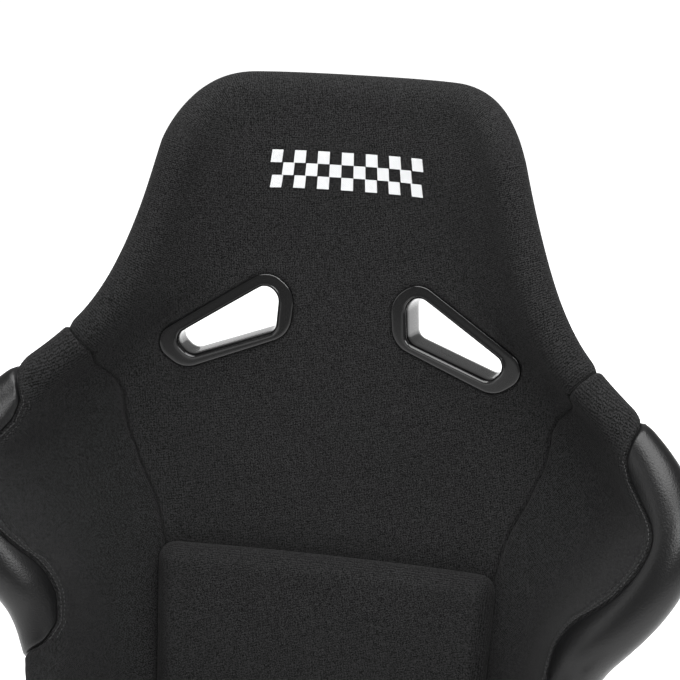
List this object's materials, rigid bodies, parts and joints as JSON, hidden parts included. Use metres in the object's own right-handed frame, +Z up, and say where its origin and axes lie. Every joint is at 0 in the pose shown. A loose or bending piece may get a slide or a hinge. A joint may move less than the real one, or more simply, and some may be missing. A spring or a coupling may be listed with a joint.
{
  "type": "racing seat",
  "caption": "Fixed-back racing bucket seat: moulded shell with fabric bolsters, leather wing patches, harness slots with plastic bezels, loose cushions and side mounts.",
  "frame": {"origin": "centre of the rectangle of the four floor bolt holes, on the floor", "axes": "+Z up, the seat faces -Y, +X is to the right of a person looking at the seat's front"},
  "size_m": [0.5848, 0.7207, 0.9146],
  "materials": {
    "fabric": "matte",
    "leather": "satin",
    "foam": "matte",
    "shell": "gloss",
    "rubber": "matte",
    "bezel": "satin",
    "bracket": "powder coat",
    "zinc": "zinc plated",
    "tape": "matte",
    "mark": "satin thread"
  },
  "bodies": {
    "seat": {"back_cover": "fabric", "back_foam": "foam", "back_hook_strips": "tape", "base_cover": "fabric", "base_foam": "foam", "bracket_bolts_left": "zinc", "bracket_bolts_right": "zinc", "bracket_left": "bracket", "bracket_right": "bracket", "bracket_washers_left": "zinc", "bracket_washers_right": "zinc", "edge_welt_left": "rubber", "edge_welt_right": "rubber", "front_roll": "fabric", "head_cover": "fabric", "head_foam": "foam", "head_mark": "mark", "head_roll_left": "fabric", "head_roll_right": "fabric", "head_top_roll": "fabric", "lap_bezel_left": "bezel", "lap_bezel_right": "bezel", "lap_outer_bezel_left": "bezel", "lap_outer_bezel_right": "bezel", "mount_bosses_left": "shell", "mount_bosses_right": "shell", "seat_hook_strips": "tape", "shell": "shell", "shoulder_bezel_left": "bezel", "shoulder_bezel_right": "bezel", "shoulder_rear_bezel_left": "bezel", "shoulder_rear_bezel_right": "bezel", "side_cover_left": "fabric", "side_cover_right": "fabric", "side_foam_left": "foam", "side_foam_right": "foam", "strap_bezel": "bezel", "strap_lower_bezel": "bezel", "thigh_cover_left": "fabric", "thigh_cover_right": "fabric", "thigh_foam_left": "foam", "thigh_foam_right": "foam", "thigh_patch_left": "leather", "thigh_patch_right": "leather", "waist_roll_left": "fabric", "waist_roll_right": "fabric", "wing_patch_left": "leather", "wing_patch_right": "leather"},
    "back_pad": {"back_pad_cover": "fabric", "back_pad_foam": "foam", "back_pad_strips": "tape"},
    "seat_pad": {"seat_pad_cover": "fabric", "seat_pad_foam": "foam", "seat_pad_strips": "tape"}
  },
  "joints": [
    {"name": "back_pad_off", "type": "slide", "parent": "seat", "child": "back_pad", "axis": [0, -0.97, 0.2431], "range_m": [0, 0.08]},
    {"name": "seat_pad_off", "type": "slide", "parent": "seat", "child": "seat_pad", "axis": [0, -0.7071, 0.7071], "range_m": [0, 0.12]}
  ]
}
